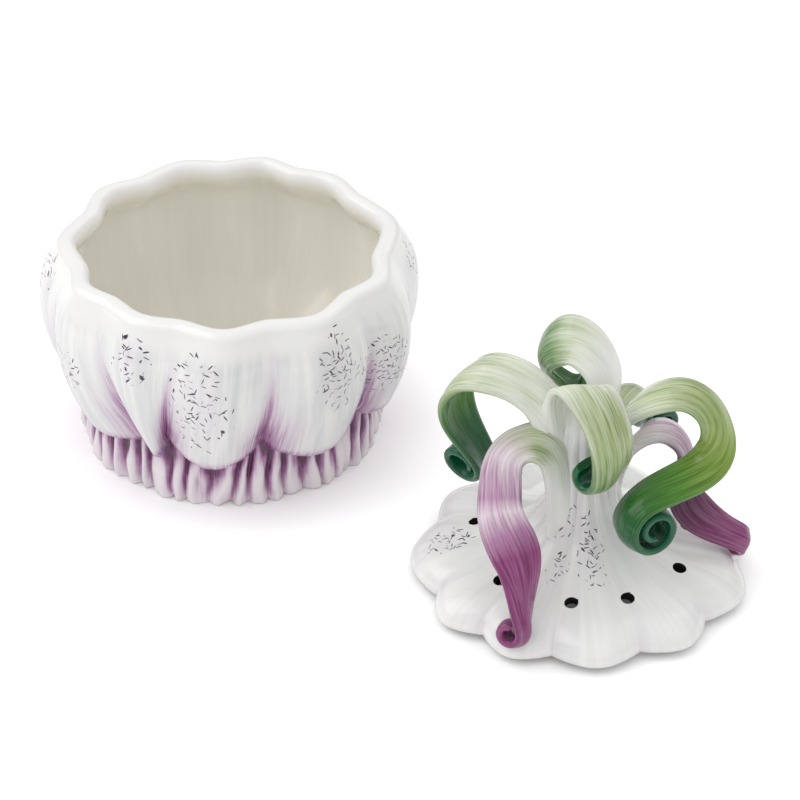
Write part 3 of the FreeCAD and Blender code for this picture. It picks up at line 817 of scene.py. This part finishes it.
def ventTool():
    vertices, faces = [], []
    segments = 36
    for middle, axis in ventAxes():
        sideways = unit(np.cross(axis, (0, 0, 1)))
        upwards = np.cross(axis, sideways)
        first = len(vertices)
        for end in (-2, 2):
            for step in range(segments):
                spin = 2 * math.pi * step / segments
                rim = sideways * math.cos(spin) + upwards * math.sin(spin)
                vertices.append(middle + rim * lid["ventRadius"] + axis * end * lid["wall"])
        for step in range(segments):
            n = (step + 1) % segments
            faces.append((first + step, first + n, first + segments + n, first + segments + step))
        faces.append(tuple(first + step for step in reversed(range(segments))))
        faces.append(tuple(first + segments + step for step in range(segments)))
    mesh = bpy.data.meshes.new("ventTool")
    placed = standLid(vertices) * millimetre
    mesh.from_pydata(placed.tolist(), [], faces)
    tool = bpy.data.objects.new("ventTool", mesh)
    scene.collection.objects.link(tool)
    return tool


def drillVents(piece):
    tool = ventTool()
    drill = piece.modifiers.new("vents", "BOOLEAN")
    drill.operation = "DIFFERENCE"
    drill.solver = "EXACT"
    drill.object = tool
    evaluated = piece.evaluated_get(bpy.context.evaluated_depsgraph_get())
    mesh = bpy.data.meshes.new_from_object(evaluated)
    mesh.name = piece.data.name
    piece.modifiers.remove(drill)
    piece.data = mesh
    bpy.data.objects.remove(tool)


def paintBoreShade(mesh):
    # 1 on the faces inside the vent holes, where shade is painted, 0 on all others
    centres = np.array([tuple(face.center) for face in mesh.polygons]) / millimetre
    inside = np.zeros(len(centres))
    for middle, axis in ventAxes():
        offset = centres - standLid(middle)
        line = standLid(middle + axis) - standLid(middle)
        along = offset @ line
        aside = np.linalg.norm(offset - along[:, None] * line, axis=1)
        inside[(aside < lid["ventRadius"]) & (np.abs(along) < 2 * lid["wall"])] = 1
    layer = mesh.attributes.new("boreShade", "FLOAT", "FACE")
    layer.data.foreach_set("value", inside.astype(np.float32))


def paintLid(piece):
    places = meshPlaces(piece.data)
    x, y, height = places[:, 0] - lidCentre, places[:, 1], places[:, 2]
    turn = np.degrees(np.arctan2(y, x)) - lid["turn"]
    radius = np.hypot(x, y)
    starts = creaseAngles(lid["firstCrease"], 0)[:-1]
    apart = np.abs((turn[:, None] - starts[None, :] + 180) % 360 - 180).min(1)
    near = softStep(lid["creaseReach"], 0, apart)
    wash = np.zeros(len(places))
    for place, (start, full, strength) in ((radius, lid["domeWash"]), (height, lid["neckWash"])):
        wash += near * softStep(start, full, place) * strength
    onDome = height < domeFlat + 6
    onNeck = radius < 40
    dome = clusterMask(turn, radius, lid["domeClusters"]) * onDome
    neck = clusterMask(turn, height, lid["neckClusters"]) * onNeck
    paintNumbers(piece.data, "wash", wash)
    paintNumbers(piece.data, "dotted", np.maximum(dome, neck))
    paintNumbers(piece.data, "inner", np.zeros(len(places)))
    paintNumbers(piece.data, "brushed", np.full(len(places), lid["brushing"]))
    paintBoreShade(piece.data)


# Leaves: each a ribbon laid along stations in the lid's own frame.

greens = {
    "bare": "#f1f1ee",
    "pale": "#b2c482",
    "olive": "#87a03a",
    "leaf": "#50852a",
    "deep": "#17602a",
    "teal": "#015a3b",
    "mauve": "#b07aa4",
    "plum": "#8a3a72",
    "wine": "#4c2440",
    "pink": "#dcc0d3",
}
# station: x, y, height above the seat, direction and rise of the width, width
# curl: first radius, last radius, turns, end width
# paint: share of the length, colour and cover outside, colour and cover inside
leaves = {
    "leaf_left_high": {
        "stations": [(-3, -4, 0, 60, -10, 12), (-8, -3, 20, 54, 10, 16), (-16, -1, 36, 54, 25, 19),
                     (-27, 1, 46, 58, 27, 20), (-39, 3, 49, 62, 24, 20), (-48, 6, 45, 58, 12, 19),
                     (-53, 8, 36, 46, -2, 19), (-52, 11, 23, 36, -8, 18), (-47, 14, 10, 40, -10, 16),
                     (-41, 16, -3, 44, -10, 14)],
        "curl": (9.5, 4.5, 1.15, 11), "outward": -1,
        "paint": [(0, "bare", 0, "bare", 0), (0.2, "pale", 0.1, "pale", 0.3),
                  (0.35, "pale", 0.3, "olive", 0.7), (0.5, "olive", 0.5, "leaf", 0.95),
                  (0.62, "leaf", 0.8, "deep", 1), (0.8, "teal", 1, "teal", 1), (1, "teal", 1, "teal", 1)],
    },
    "leaf_left_low": {
        "stations": [(-9, -12, -18, 50, -5, 13), (-10, -12, 0, 55, 10, 15), (-12, -11, 16, 64, 17, 18),
                     (-19, -12, 24, 76, 12, 20), (-28, -15, 25, 96, 16, 19), (-34, -20, 20, 122, 22, 18),
                     (-35, -27, 12, 148, 18, 18), (-35, -34, 5, 165, 6, 19), (-32, -41, -1, 182, 0, 21),
                     (-28, -47, -8, 190, -2, 21), (-26.5, -53, -16, 200, 10, 16),
                     (-26, -59, -24, 215, 26, 13), (-25, -63, -32, 232, 38, 11)],
        "curl": (6.5, 2.6, -0.9, 8), "outward": -1,
        "paint": [(0, "bare", 0, "bare", 0), (0.2, "pale", 0.1, "pale", 0.2),
                  (0.3, "olive", 0.45, "olive", 0.6), (0.4, "mauve", 0.3, "deep", 0.9),
                  (0.5, "mauve", 0.7, "deep", 1), (0.54, "pink", 0.5, "plum", 0.9),
                  (0.6, "mauve", 0.85, "plum", 1), (0.66, "plum", 0.95, "plum", 1),
                  (0.8, "plum", 0.9, "plum", 1), (1, "plum", 0.95, "plum", 1)],
    },
    "leaf_front": {
        "stations": [(-6, -3, 10, 5, -20, 13), (-7, -5, 32, 2, -12, 18), (-6, -7, 44, -2, -2, 21),
                     (-1, -13, 50, -6, 2, 21), (5, -20, 46, 2, 12, 20), (9, -25, 37, 14, 24, 19),
                     (10.5, -27, 27, 24, 34, 18), (8.5, -26.5, 15, 30, 42, 17)],
        "curl": (7.5, 4.5, 0.6, 14), "outward": 1,
        "paint": [(0, "bare", 0, "bare", 0), (0.35, "pale", 0.2, "pale", 0.3),
                  (0.5, "olive", 0.45, "leaf", 0.7), (0.65, "olive", 0.6, "teal", 1),
                  (0.85, "leaf", 0.75, "teal", 1), (1, "deep", 1, "teal", 1)],
    },
    "leaf_back_top": {
        "stations": [(5, 2, 8, 40, -25, 12), (7, 4, 28, 42, -28, 16), (9, 7, 40, 40, -27, 19),
                     (7, 9, 48, 36, -12, 20), (1, 12, 55, 40, 20, 21), (-6, 15, 57, 55, 48, 22),
                     (-12, 18, 53, 80, 45, 21), (-16, 22, 45, 96, 14, 19), (-14, 25, 36, 100, 0, 17),
                     (-7, 25, 29, 100, 0, 15)],
        "curl": (7, 4.5, -0.4, 12), "outward": -1,
        "paint": [(0, "bare", 0, "bare", 0), (0.35, "bare", 0.05, "pale", 0.2),
                  (0.5, "pale", 0.3, "olive", 0.8), (0.62, "leaf", 0.7, "leaf", 0.9),
                  (1, "leaf", 0.9, "deep", 1)],
    },
    "leaf_right": {
        "stations": [(6, -1, 4, 45, -12, 12), (13, -2, 22, 58, -5, 15), (21, -3, 36, 80, 5, 17),
                     (31, -5, 43, 88, 10, 18), (41, -6, 44.5, 82, 10, 19), (50, -8, 39, 66, 4, 19),
                     (54, -11, 30, 46, -8, 19), (53, -15, 21, 0, -14, 18), (45, -20, 15, -50, -20, 18),
                     (32, -25.5, 11.5, -65, -15, 18), (20, -31, 6.5, -72, -5, 18)],
        "curl": (12.5, 4.2, 1.45, 16), "outward": 1,
        "paint": [(0, "bare", 0, "bare", 0.05), (0.2, "pale", 0.35, "pale", 0.5),
                  (0.3, "olive", 0.6, "leaf", 0.8), (0.42, "olive", 0.9, "leaf", 0.95),
                  (0.55, "leaf", 1, "leaf", 1), (0.68, "deep", 1, "deep", 1), (0.8, "teal", 1, "teal", 1),
                  (1, "teal", 1, "teal", 1)],
    },
    "leaf_right_low": {
        "stations": [(8, 1, -12, 50, -5, 12), (18, 6, 6, 62, -2, 14), (27, 10, 14, 78, 0, 15),
                     (36, 13, 13, 82, 4, 16), (43, 13, 5, 78, 0, 15), (43, 10, -4, 66, -4, 16),
                     (43, 5, -13, 48, 10, 18), (48, 1, -20, 46, 25, 18), (57, -1, -26, 52, 25, 15),
                     (66, -1, -31, 60, 25, 13)],
        "curl": (6, 4.2, 0.55, 10), "outward": 1,
        "paint": [(0, "bare", 0, "bare", 0), (0.25, "pink", 0.25, "mauve", 0.5),
                  (0.42, "mauve", 0.5, "wine", 0.9), (0.6, "wine", 0.95, "wine", 1),
                  (0.8, "plum", 0.9, "plum", 1), (1, "plum", 1, "plum", 1)],
    },
    "leaf_back": {
        "stations": [(6, 5, 5, -35, 10, 12), (12, 11, 22, -45, 18, 15), (18, 20, 27, -48, 22, 17),
                     (22, 29, 22, -50, 16, 17), (25, 35, 12, -52, 12, 16), (26, 38, 0, -60, 8, 14)],
        "curl": (8, 4.2, 1.1, 11), "outward": -1,
        "paint": [(0, "bare", 0, "bare", 0), (0.25, "pale", 0.5, "pale", 0.5),
                  (0.4, "deep", 0.9, "deep", 0.9), (0.6, "teal", 1, "teal", 1), (1, "teal", 1, "teal", 1)],
    },
}


def throughPoints(values):
    # slopes of a smooth curve through evenly marked values
    values = np.asarray(values, float)
    count = len(values)
    ends = np.array([-11, 18, -9, 2]) / 6
    system = np.eye(count)
    wanted = np.zeros_like(values)
    wanted[0] = ends @ values[:4]
    wanted[-1] = -(ends @ values[::-1][:4])
    for i in range(1, count - 1):
        system[i, i - 1:i + 2] = (1, 4, 1)
        wanted[i] = 3 * (values[i + 1] - values[i - 1])
    return np.linalg.solve(system, wanted)


def leafFrames(leaf):
    # centre, direction, width direction, width and crown, twice per station and on into the curl
    stations = np.array(leaf["stations"], float)
    stations[:, 2] += neckFoot + lid["leafSeatRise"]
    slopes = throughPoints(stations)
    frames = []
    for half in range(2 * len(stations) - 1):
        i = half // 2
        if half % 2 == 0:
            here, slope = stations[i], slopes[i]
        else:
            here = (stations[i] + stations[i + 1]) / 2 + (slopes[i] - slopes[i + 1]) / 8
            slope = 1.5 * (stations[i + 1] - stations[i]) - (slopes[i] + slopes[i + 1]) / 4
        turn, lean = np.radians(here[3:5])
        across = np.array([math.cos(lean) * math.cos(turn), math.cos(lean) * math.sin(turn), math.sin(lean)])
        frames.append((here[:3], unit(slope[:3]), across, here[5], lid["leafBow"] * leaf["outward"]))
    centre, along, across, width, crown = frames[-1]
    first, last, turns, endWidth = leaf["curl"]
    across = unit(across - along * across.dot(along))
    steps = max(2, round(abs(turns) * 12))
    turn = math.copysign(2 * math.pi * abs(turns) / steps, turns)
    halfTurn = np.array(Matrix.Rotation(turn / 2, 3, Vector(across)))
    fullTurn = np.array(Matrix.Rotation(turn, 3, Vector(across)))
    for step in range(1, steps + 1):
        share = step / steps
        radius = first + (last - first) * share
        centre = centre + halfTurn @ along * (2 * radius * math.sin(abs(turn) / 2))
        along = fullTurn @ along
        flattened = crown * (1 - 0.8 * min(1, 2 * share))
        frames.append((centre, along, across, width + (endWidth - width) * share, flattened))
    return frames


def leafSheet(leaf, perRow=6):
    # points, and for each column how far across it lies (-1 to 1) and which face it is on (1 out, -1 in)
    half = lid["leafThickness"] / 2
    strips = [[], [], [], []]
    for centre, along, across, width, crown in leafFrames(leaf):
        across = unit(across - along * across.dot(along))
        up = np.cross(along, across)
        flat = width / 2 - half
        bulge = flat + half * 4 / 3

        def at(side, rise):
            return centre + across * side + up * (rise - crown / 3)

        shares = (-1, -0.5, 0, 0.5, 1)
        top = [at(flat * s, half + crown * (1 - s ** 2)) for s in shares]
        back = [at(-flat * s, -half + crown * (1 - s ** 2)) for s in shares]
        strips[0].append(top)
        strips[1].append([top[-1], at(bulge, half), at(bulge, -half), back[0]])
        strips[2].append(back)
        strips[3].append([back[-1], at(-bulge, -half), at(-bulge, half), top[0]])
    count = len(strips[0])
    marks = np.linspace(0, count - 3, (count - 3) * perRow + 1)
    rowWeights = cubicWeights(count, marks)
    sheets, across, face = [], [], []
    for strip, samples, start, end, faceStart, faceEnd in zip(
            strips, (16, 6, 16, 6), (-1, 1, 1, -1), (1, 1, -1, -1), (1, 1, -1, -1), (1, -1, -1, 1)):
        share = np.linspace(0, 1, samples, endpoint=False)
        columnWeights = cubicWeights(len(strip[0]), share * (len(strip[0]) - 3))
        sheets.append(smoothSheet(strip, rowWeights, columnWeights))
        across += list(start + (end - start) * share)
        face += list(faceStart + (faceEnd - faceStart) * share)
    return np.concatenate(sheets, axis=1), np.array(across), np.array(face) * leaf["outward"]


def paintLeaf(mesh, leaf, points, across, face):
    length = runLength(points.mean(1))
    share = length / length[-1]
    stops = [stop[0] for stop in leaf["paint"]]
    outside = softStep(-0.9, 0.9, face)[None, :, None]

    def blend(values):
        channels = np.array(values, float).T
        return np.stack([np.interp(share, stops, channel) for channel in channels], axis=-1)

    outPaint = blend([linearColour(greens[stop[1]]) for stop in leaf["paint"]])[:, None]
    inPaint = blend([linearColour(greens[stop[3]]) for stop in leaf["paint"]])[:, None]
    pigment = inPaint + (outPaint - inPaint) * outside
    outCover = blend([[stop[2]] for stop in leaf["paint"]])[:, None]
    inCover = blend([[stop[4]] for stop in leaf["paint"]])[:, None]
    cover = (inCover + (outCover - inCover) * outside)[..., 0]
    # painted highlight: the colour is thinned towards white on both rims of the leaf, where the glaze also
    # runs thin
    rim = softStep(0.86, 1.0, np.abs(across))[None, :]
    cover = cover * (1 - 0.4 * rim * (1 - cover))
    pad = len(mesh.vertices) - points.shape[0] * points.shape[1]
    pigment = np.concatenate((pigment.reshape(-1, 4), np.tile(pigment[-1, -1], (pad, 1))))
    paintColours(mesh, "pigment", pigment)
    paintNumbers(mesh, "cover", np.concatenate((cover.ravel(), [cover[-1, -1]] * pad)))


def leafGlaze():
    # green and purple underglaze brushed along the leaf over tin white, under a thick clear glaze:
    # streaks follow the leaf, and colour is paler on its rims, partly thin glaze on the edge and partly
    # painted highlight
    material, tree = newMaterial("brushedLeafGlaze")
    pigment = addNode(tree, "ShaderNodeAttribute", attribute_name="pigment")
    cover = addNode(tree, "ShaderNodeAttribute", attribute_name="cover")
    strokes = brushStrokes(tree, 0.9, 22, seed=1.0)
    broad = brushStrokes(tree, 3.2, 40, seed=5.0)
    mottled = addNode(tree, "ShaderNodeMath", {0: strokes, 1: broad}, operation="ADD")
    shift = addNode(tree, "ShaderNodeMath", {0: mottled, 1: 2.2, 2: -2.2}, operation="MULTIPLY_ADD")
    bareness = addNode(tree, "ShaderNodeMath", {0: 1.06, 1: cover.outputs["Fac"]}, operation="SUBTRACT")
    room = addNode(tree, "ShaderNodeMath", {0: cover.outputs["Fac"], 1: bareness}, operation="MULTIPLY")
    freeRoom = addNode(tree, "ShaderNodeMath", {0: room, 1: 2.4}, operation="MULTIPLY")
    covered = addNode(tree, "ShaderNodeMath", {0: freeRoom, 1: shift, 2: cover.outputs["Fac"]},
                      operation="MULTIPLY_ADD")
    covered.use_clamp = True
    lightness = addNode(tree, "ShaderNodeMapRange", {"Value": strokes, "From Min": 0.3, "From Max": 0.7,
                                                    "To Min": 1.25, "To Max": 0.6})
    paint = addNode(tree, "ShaderNodeHueSaturation", {"Value": lightness, "Color": pigment.outputs["Color"]})
    thin = addNode(tree, "ShaderNodeMath", {0: cover.outputs["Fac"], 1: 0.75}, operation="MULTIPLY")
    tint = addNode(tree, "ShaderNodeMix", {
        0: thin, 6: linearColour(greens["bare"]), 7: pigment.outputs["Color"]}, data_type="RGBA")
    mix = addNode(tree, "ShaderNodeMix", {0: covered, 6: tint.outputs[2], 7: paint}, data_type="RGBA")
    bump = addNode(tree, "ShaderNodeBump", {"Height": mottled, "Strength": 0.25, "Distance": 0.0005})
    glaze(tree, mix.outputs[2], 0.2, bump, 0.2)
    return material


def lute(points, surface):
    # fills the angle where pieces were joined while soft: how far the points swell towards a surface
    reach = lid["lutingReach"]
    swollen = np.zeros(len(points))
    for i, point in enumerate(points):
        spot, normal, index, gap = surface.find_nearest(Vector(point), reach)
        if spot is None:
            continue
        if (Vector(point) - spot).dot(normal) < 0:
            gap = 0
        swollen[i] = lid["lutingBuild"] * reach * (1 - gap / reach) ** 2
    return swollen


def swell(piece, amount):
    mesh = piece.data
    normals = np.zeros(len(mesh.vertices) * 3)
    mesh.vertices.foreach_get("normal", normals)
    places = meshPlaces(mesh) + normals.reshape(-1, 3) * amount[:, None]
    mesh.vertices.foreach_set("co", (places * millimetre).ravel())
    mesh.update()


def makeLeaf(name, leaf):
    # the leaf, and how many of its points belong to its root
    sheet, across, face = leafSheet(leaf)
    length = runLength(sheet.mean(1))
    ring = sheet[len(sheet) // 3]
    around = runLength(np.concatenate((ring, ring[:1])))
    uv = [[(a, b) for a in around] for b in length]
    piece = makePiece(name.replace("_", ""), standLid(sheet), uv)
    paintLeaf(piece.data, leaf, sheet, across, face)
    rootRows = int(np.searchsorted(length / length[-1], lid["leafRoot"]))
    return piece, rootRows * sheet.shape[1]


def joinPieces(pieces, roots):
    surfaces = {}
    for name, piece in pieces.items():
        faces = [tuple(f.vertices) for f in piece.data.polygons]
        if name in roots:
            faces = [f for f in faces if max(f) < roots[name]]
        surfaces[name] = BVHTree.FromPolygons([Vector(p) for p in meshPlaces(piece.data)], faces)
    for name, piece in pieces.items():
        places = meshPlaces(piece.data)
        amount = np.zeros(len(places))
        for other, surface in surfaces.items():
            if other != name:
                amount = np.maximum(amount, lute(places, surface))
        if name in roots:
            pastRoot = np.arange(len(places)) - roots[name]
            amount *= softStep(len(places) * lid["lutingFade"], 0, pastRoot)
        swell(piece, amount)


def makeLid():
    points = lobedSheet(lidRows(), lid["firstCrease"], 0.0, *lid["mesh"], lambda height: lid["softness"])[0]
    dome = makePiece("lidDome", standLid(points), sheetMap(points))
    pieces = {"lid_dome": dome}
    roots = {}
    for name, leaf in leaves.items():
        pieces[name], roots[name] = makeLeaf(name, leaf)
    joinPieces(pieces, roots)
    drillVents(dome)
    paintLid(dome)
    smoothPiece(dome)
    white = paintedWhiteGlaze("brushedLidGlaze", 2.5, (0.45, 2.8))
    finishPiece(dome, white, "lid", "lid_glaze", "lid_dome")
    coat = leafGlaze()
    purple = ("leaf_left_low", "leaf_right_low")
    for name in leaves:
        smoothPiece(pieces[name], 70)
        slotName = "leaf_purple_glaze" if name in purple else "leaf_green_glaze"
        finishPiece(pieces[name], coat, "lid", slotName, name)


makeLid()
print("lid and leaves made")


def footGlaze():
    # glazed ring with a wiped, unglazed foot: matt bisque below, gloss above
    material, tree = newMaterial("wipedRingGlaze")
    place = addNode(tree, "ShaderNodeTexCoord").outputs["Object"]
    height = addNode(tree, "ShaderNodeSeparateXYZ", {0: place})
    grain = addNode(tree, "ShaderNodeTexNoise", {"Vector": place, "Scale": 900.0, "Detail": 3.0})
    bare = addNode(tree, "ShaderNodeMapRange", {
        "Value": height.outputs[2], "From Min": 1.6 * millimetre, "From Max": 0.9 * millimetre})
    colour = addNode(tree, "ShaderNodeMix", {
        0: bare, 6: linearColour(palette["white"]), 7: linearColour(palette["bisque"])}, data_type="RGBA")
    roughness = addNode(tree, "ShaderNodeMapRange", {"Value": bare, "To Min": 0.18, "To Max": 0.75})
    bump = addNode(tree, "ShaderNodeBump", {"Height": grain, "Strength": 0.1, "Distance": 0.0003})
    glaze(tree, colour.outputs[2], roughness, bump)
    return material


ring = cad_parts["lid_locating_ring"]
ring.data.materials.clear()
ring.data.materials.append(footGlaze())
print("ring glazed")


# Camera, floor and light.

studio = {
    "cameraPlace": (0.9413, -1.1185, 1.0059),
    "cameraDrop": 34.3,  # degrees below the horizon
    "cameraTurn": 37.2,
    "lens": 180.0,
    "sensor": 36.0,
    "worldLight": 0.86,
    "worldGlint": 0.45,  # share of it that reflections see
    "floor": "#f6f6f6",
    "floorReach": 4.0,
    "floorGlow": 0.36,
    "contactShadow": 0.04,  # how far from the object the glow fades
    # a large soft box to the left and above, and a weaker one behind for the glints:
    # place, aim, size and watts
    "lamps": {
        "softBox": ((-0.75, -0.55, 1.25), (0.08, 0, 0.05), 1.3, 6.4),
        "backBox": ((0.1, 1.2, 1.1), (0.1, 0, 0.05), 1.0, 1.5),
    },
}


def makeCamera():
    data = bpy.data.cameras.new("camera")
    data.lens = studio["lens"]
    data.sensor_width = studio["sensor"]
    data.clip_start = 0.1
    data.clip_end = 20
    camera = bpy.data.objects.new("camera", data)
    camera.location = studio["cameraPlace"]
    camera.rotation_euler = (math.radians(90 - studio["cameraDrop"]), 0, math.radians(studio["cameraTurn"]))
    scene.collection.objects.link(camera)
    scene.camera = camera


def paperFloor():
    # matt white paper sweep; the camera also sees a faint glow that dies out near the object, so
    # that the paper burns out to white while its contact shadow stays
    material, tree = newMaterial("paperFloor")
    diffuse = addNode(tree, "ShaderNodeBsdfDiffuse", {"Color": linearColour(studio["floor"])})
    openness = addNode(tree, "ShaderNodeAmbientOcclusion", {"Distance": studio["contactShadow"]}, samples=6)
    strength = addNode(tree, "ShaderNodeMath", {0: openness.outputs["AO"], 1: studio["floorGlow"]},
                       operation="MULTIPLY")
    glow = addNode(tree, "ShaderNodeEmission", {"Color": (1, 1, 1, 1), "Strength": strength})
    lit = addNode(tree, "ShaderNodeAddShader", {0: diffuse, 1: glow})
    seen = addNode(tree, "ShaderNodeLightPath")
    both = addNode(tree, "ShaderNodeMixShader", {0: seen.outputs["Is Camera Ray"], 1: diffuse, 2: lit})
    addNode(tree, "ShaderNodeOutputMaterial", {"Surface": both})
    return material


def makeFloor():
    mesh = bpy.data.meshes.new("floor")
    reach = studio["floorReach"]
    corners = [(-reach, -reach, 0), (reach, -reach, 0), (reach, reach, 0), (-reach, reach, 0)]
    mesh.from_pydata(corners, [], [(0, 1, 2, 3)])
    mesh.materials.append(paperFloor())
    floor = bpy.data.objects.new("floor", mesh)
    scene.collection.objects.link(floor)


def makeWorld():
    world = bpy.data.worlds.new("studio")
    scene.world = world
    world.use_nodes = True
    tree = world.node_tree
    tree.nodes.clear()
    light = studio["worldLight"]
    seen = addNode(tree, "ShaderNodeLightPath")
    dimmed = addNode(tree, "ShaderNodeMapRange", {
        "Value": seen.outputs["Is Glossy Ray"], "To Min": light, "To Max": light * studio["worldGlint"]})
    strength = addNode(tree, "ShaderNodeMapRange", {
        "Value": seen.outputs["Is Camera Ray"], "To Min": dimmed, "To Max": 1.0})
    background = addNode(tree, "ShaderNodeBackground", {"Color": (1, 1, 1, 1), "Strength": strength})
    addNode(tree, "ShaderNodeOutputWorld", {"Surface": background})


def makeLamps():
    for name, (place, aim, size, watts) in studio["lamps"].items():
        light = bpy.data.lights.new(name, "AREA")
        light.shape = "SQUARE"
        light.size = size
        light.energy = watts
        lamp = bpy.data.objects.new(name, light)
        lamp.location = place
        lamp.rotation_euler = (Vector(place) - Vector(aim)).to_track_quat("Z", "Y").to_euler()
        scene.collection.objects.link(lamp)


makeCamera()
makeFloor()
makeWorld()
makeLamps()
scene.view_settings.view_transform = "Standard"
print("studio set")
